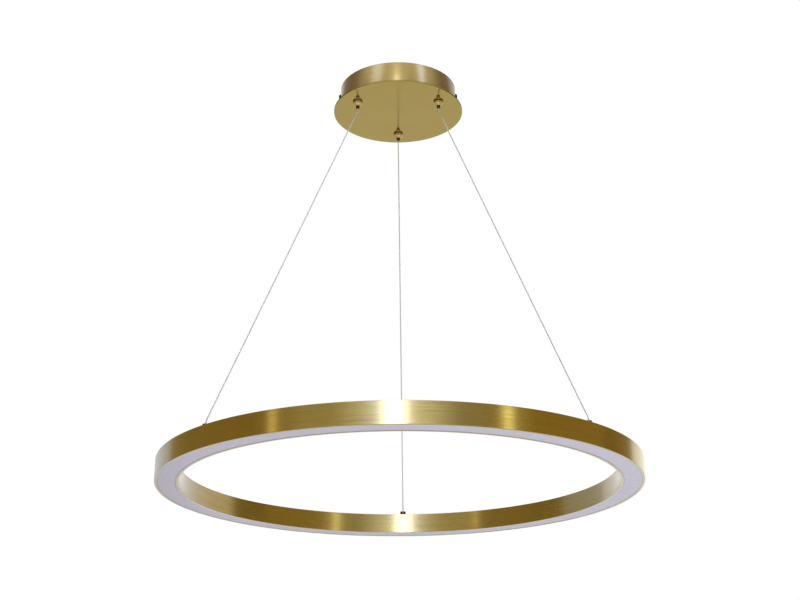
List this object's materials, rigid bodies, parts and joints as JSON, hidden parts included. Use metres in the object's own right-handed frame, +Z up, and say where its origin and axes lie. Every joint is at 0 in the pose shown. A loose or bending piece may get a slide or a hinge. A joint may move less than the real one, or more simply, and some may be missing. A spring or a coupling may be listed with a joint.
{
  "type": "led ring chandelier",
  "caption": "Pendant light: brushed brass ring with an opal diffuser on its underside, hung by taut wires from a round ceiling canopy.",
  "frame": {"origin": "middle of the ceiling bracket's top face, on the ceiling plane", "axes": "+Z up into the ceiling, +X to the right and +Y away from the picture's viewer; the ring hangs below"},
  "size_m": [0.6, 0.6, 0.558],
  "materials": {
    "brushed_brass_aluminium": "brass-coloured anodised aluminium, brushed along the ring",
    "brushed_brass_plate": "brass-plated steel, brushed round the drum",
    "polished_brass_plate": "brass-plated steel, polished",
    "polished_brass": "polished",
    "dark_brass": "darkened, satin",
    "plain_brass": "plain machined",
    "zinc_steel": "bright zinc plated",
    "black_steel": "black oxide",
    "spring_steel": "bright drawn",
    "stainless_wire": "stranded, satin",
    "tinned_copper": "tinned",
    "white_plastic": "moulded",
    "black_plastic": "moulded",
    "nylon": "natural",
    "circuit_board": "solder mask",
    "brown_lead": "soft sleeve",
    "red_lead": "soft sleeve",
    "green_yellow_lead": "soft sleeve",
    "led_board": "white solder mask on aluminium",
    "led_phosphor": "phosphor",
    "opal_acrylic": "opal, satin"
  },
  "bodies": {
    "canopy": {"ceiling_bracket": "zinc_steel", "bracket_nuts": "zinc_steel", "canopy_drum": "brushed_brass_plate", "canopy_plate": "polished_brass_plate", "driver_case": "white_plastic", "driver_lid": "white_plastic", "driver_board": "circuit_board", "driver_components": "black_plastic", "terminal_block": "white_plastic", "terminal_sleeves": "plain_brass", "terminal_screws": "zinc_steel", "earth_tag": "tinned_copper", "stud_nuts": "zinc_steel", "input_leads": "brown_lead", "earth_lead": "green_yellow_lead", "output_leads": "red_lead", "wire_ferrules": "tinned_copper", "gripper_bushes": "black_plastic", "gripper_washers": "nylon", "gripper_nuts": "zinc_steel", "gripper_caps": "plain_brass", "gripper_far_body": "polished_brass", "gripper_far_spring": "spring_steel", "wire_far": "stainless_wire", "wire_tail_far": "stainless_wire", "gripper_left_body": "polished_brass", "gripper_left_spring": "spring_steel", "wire_left": "stainless_wire", "wire_tail_left": "stainless_wire", "gripper_right_body": "polished_brass", "gripper_right_spring": "spring_steel", "wire_right": "stainless_wire", "wire_tail_right": "stainless_wire"},
    "side_screw_left": {"side_screw_left": "black_steel"},
    "side_screw_right": {"side_screw_right": "black_steel"},
    "side_washer_left": {"side_washer_left": "black_steel"},
    "side_washer_right": {"side_washer_right": "black_steel"},
    "ring": {"ring_channel": "brushed_brass_aluminium", "ring_cover": "brushed_brass_aluminium", "diffuser": "opal_acrylic", "led_boards": "led_board", "led_chips": "led_phosphor", "post_collars": "nylon", "post_blocks": "nylon", "post_nuts": "zinc_steel", "wire_crimps": "tinned_copper", "ring_leads": "red_lead", "ring_post_far": "polished_brass", "ring_post_left": "polished_brass", "ring_post_right": "polished_brass"},
    "release_tip_far": {"gripper_far_release_tip": "dark_brass", "gripper_far_balls": "spring_steel"},
    "release_tip_left": {"gripper_left_release_tip": "dark_brass", "gripper_left_balls": "spring_steel"},
    "release_tip_right": {"gripper_right_release_tip": "dark_brass", "gripper_right_balls": "spring_steel"}
  },
  "joints": [
    {"name": "ring_height", "type": "slide", "parent": "canopy", "child": "ring", "axis": [0, 0, 1], "range_m": [0, 0.25], "deforming": ["wire_far", "wire_left", "wire_right"]},
    {"name": "release_tip_far_press", "type": "slide", "parent": "canopy", "child": "release_tip_far", "axis": [0, 0, 1], "range_m": [0, 0.002], "stiffness_N_per_m": 300, "springref_m": -0.002, "deforming": ["gripper_far_spring"]},
    {"name": "release_tip_left_press", "type": "slide", "parent": "canopy", "child": "release_tip_left", "axis": [0, 0, 1], "range_m": [0, 0.002], "stiffness_N_per_m": 300, "springref_m": -0.002, "deforming": ["gripper_left_spring"]},
    {"name": "release_tip_right_press", "type": "slide", "parent": "canopy", "child": "release_tip_right", "axis": [0, 0, 1], "range_m": [0, 0.002], "stiffness_N_per_m": 300, "springref_m": -0.002, "deforming": ["gripper_right_spring"]},
    {"name": "side_screw_left_travel", "type": "slide", "parent": "canopy", "child": "side_washer_left", "axis": [-1, 0, 0], "range_m": [0, 0.0042]},
    {"name": "side_screw_left_turn", "type": "hinge", "parent": "side_washer_left", "child": "side_screw_left", "pos_m": [-0.0786, 0, -0.009], "axis": [-1, 0, 0], "range_deg": [0, 2160]},
    {"name": "side_screw_right_travel", "type": "slide", "parent": "canopy", "child": "side_washer_right", "axis": [1, 0, 0], "range_m": [0, 0.0042]},
    {"name": "side_screw_right_turn", "type": "hinge", "parent": "side_washer_right", "child": "side_screw_right", "pos_m": [0.0786, 0, -0.009], "axis": [1, 0, 0], "range_deg": [0, 2160]}
  ],
  "couplings": [
    {"joint": "side_screw_left_turn", "follows": "side_screw_left_travel", "rad_per_m": 8976},
    {"joint": "side_screw_right_turn", "follows": "side_screw_right_travel", "rad_per_m": 8976}
  ]
}
